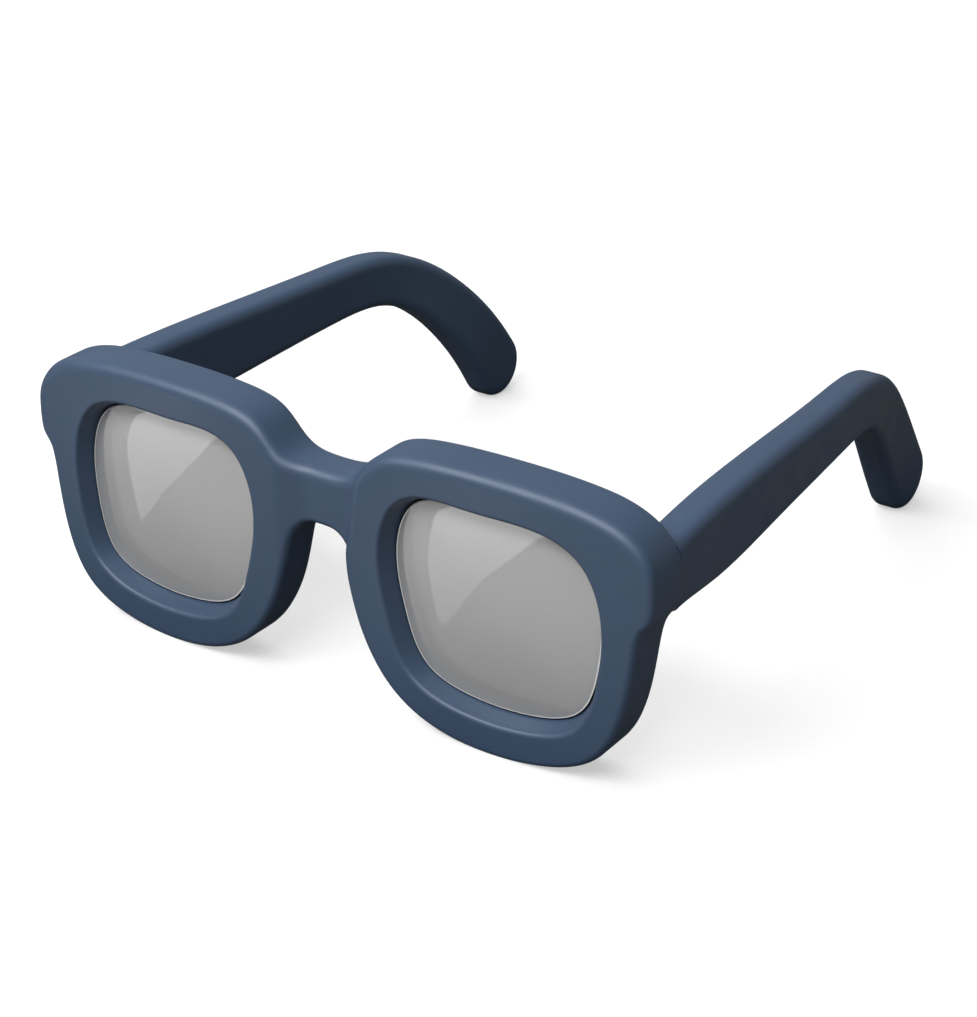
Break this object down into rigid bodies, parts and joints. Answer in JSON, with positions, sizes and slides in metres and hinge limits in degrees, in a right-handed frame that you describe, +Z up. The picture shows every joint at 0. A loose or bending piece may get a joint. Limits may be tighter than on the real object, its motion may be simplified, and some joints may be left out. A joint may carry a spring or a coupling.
{
  "type": "sunglasses",
  "caption": "Chunky square sunglasses with a moulded front, recessed grey lenses and hooked temples that fold on pinned hinges.",
  "frame": {"origin": "middle of the whole open pair, on the table that the rims and temple tips rest on", "axes": "+Z up, the front faces -Y and the open temples run towards +Y, +X is the wearer's left"},
  "size_m": [0.1398, 0.1416, 0.0553],
  "materials": {
    "frame": "fine satin-matt moulded plastic, navy blue",
    "lens": "polished neutral grey tint",
    "core": "drawn wire",
    "hinge": "satin",
    "screw": "turned",
    "rivet": "turned"
  },
  "bodies": {
    "front": {"front_frame": "frame", "left_lens": "lens", "left_front_leaf": "hinge", "left_hinge_screw": "screw", "left_front_rivet_upper": "rivet", "left_front_rivet_lower": "rivet", "right_lens": "lens", "right_front_leaf": "hinge", "right_hinge_screw": "screw", "right_front_rivet_upper": "rivet", "right_front_rivet_lower": "rivet"},
    "left_temple": {"left_temple": "frame", "left_temple_core": "core", "left_temple_leaf": "hinge", "left_temple_rivet_near": "rivet", "left_temple_rivet_far": "rivet"},
    "right_temple": {"right_temple": "frame", "right_temple_core": "core", "right_temple_leaf": "hinge", "right_temple_rivet_near": "rivet", "right_temple_rivet_far": "rivet"}
  },
  "joints": [
    {"name": "left_temple_fold", "type": "hinge", "parent": "front", "child": "left_temple", "pos_m": [0.06115, -0.05642, 0.04], "axis": [0, 0, 1], "range_deg": [0, 84.4]},
    {"name": "right_temple_fold", "type": "hinge", "parent": "front", "child": "right_temple", "pos_m": [-0.06115, -0.05642, 0.04], "axis": [0, 0, -1], "range_deg": [0, 59]}
  ]
}
